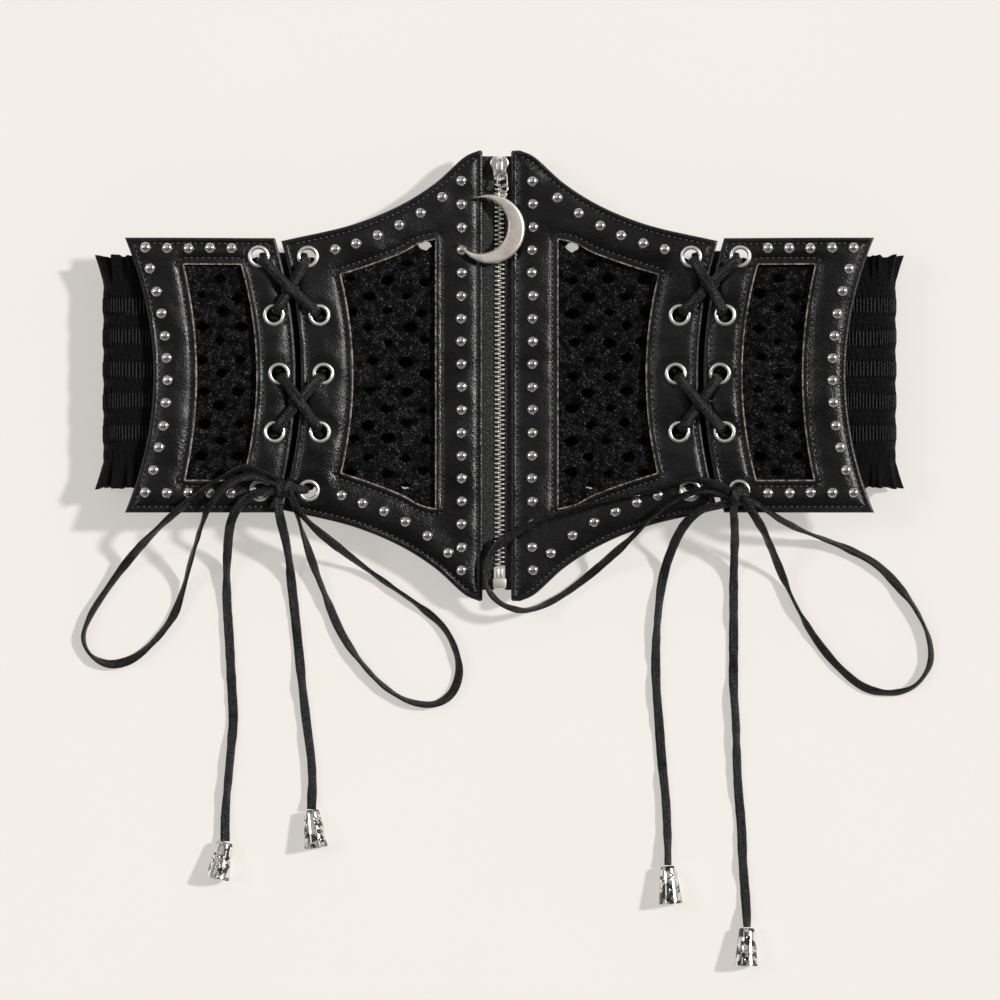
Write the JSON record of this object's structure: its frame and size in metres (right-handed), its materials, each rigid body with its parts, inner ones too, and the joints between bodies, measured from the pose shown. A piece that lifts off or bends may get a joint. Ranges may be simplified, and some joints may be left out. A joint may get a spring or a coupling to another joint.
{
  "type": "corset belt",
  "caption": "Corset belt with leather panels, net windows, front zip, side lacing with bows and metal tips, crescent drop and elastic back.",
  "frame": {"origin": "middle of the belt on the surface that it lies on, under the zip at the waist", "axes": "+X along the belt to the wearer's left, +Y up the body, +Z away from the surface, out of the belt's front"},
  "size_m": [0.383, 0.3667, 0.0291],
  "materials": {
    "leather": "black grained leather, soft sheen",
    "net": "matt black open net",
    "elastic": "black shirred elastic",
    "zipper_tape": "black woven tape",
    "zipper_metal": "nickel plated",
    "eyelet_metal": "nickel plated",
    "pendant_metal": "satin nickel",
    "lace": "waxed flat black lace",
    "cord_end_metal": "bright, dimpled"
  },
  "bodies": {
    "root": {"left_center_panel": "leather", "left_side_panel": "leather", "right_center_panel": "leather", "right_side_panel": "leather", "left_center_net": "net", "left_side_net": "net", "right_center_net": "net", "right_side_net": "net", "eyelet_01": "eyelet_metal", "eyelet_02": "eyelet_metal", "eyelet_03": "eyelet_metal", "eyelet_04": "eyelet_metal", "eyelet_05": "eyelet_metal", "eyelet_06": "eyelet_metal", "eyelet_07": "eyelet_metal", "eyelet_08": "eyelet_metal", "eyelet_09": "eyelet_metal", "eyelet_10": "eyelet_metal", "eyelet_11": "eyelet_metal", "eyelet_12": "eyelet_metal", "eyelet_13": "eyelet_metal", "eyelet_14": "eyelet_metal", "eyelet_15": "eyelet_metal", "eyelet_16": "eyelet_metal", "eyelet_17": "eyelet_metal", "eyelet_18": "eyelet_metal", "eyelet_19": "eyelet_metal", "eyelet_20": "eyelet_metal", "left_zipper_tape": "zipper_tape", "right_zipper_tape": "zipper_tape", "zipper_chain": "zipper_metal", "zipper_slider": "zipper_metal", "slider_pull": "zipper_metal", "zipper_box": "zipper_metal", "jump_ring": "zipper_metal", "moon_pendant": "pendant_metal", "elastic_band": "elastic", "left_lacing": "lace", "left_knot": "lace", "right_lacing": "lace", "right_knot": "lace", "left_outer_loop": "lace", "left_inner_loop": "lace", "right_inner_loop": "lace", "right_outer_loop": "lace", "left_outer_tail": "lace", "left_inner_tail": "lace", "right_inner_tail": "lace", "right_outer_tail": "lace", "cord_end_1": "cord_end_metal", "cord_end_2": "cord_end_metal", "cord_end_3": "cord_end_metal", "cord_end_4": "cord_end_metal"}
  },
  "joints": []
}
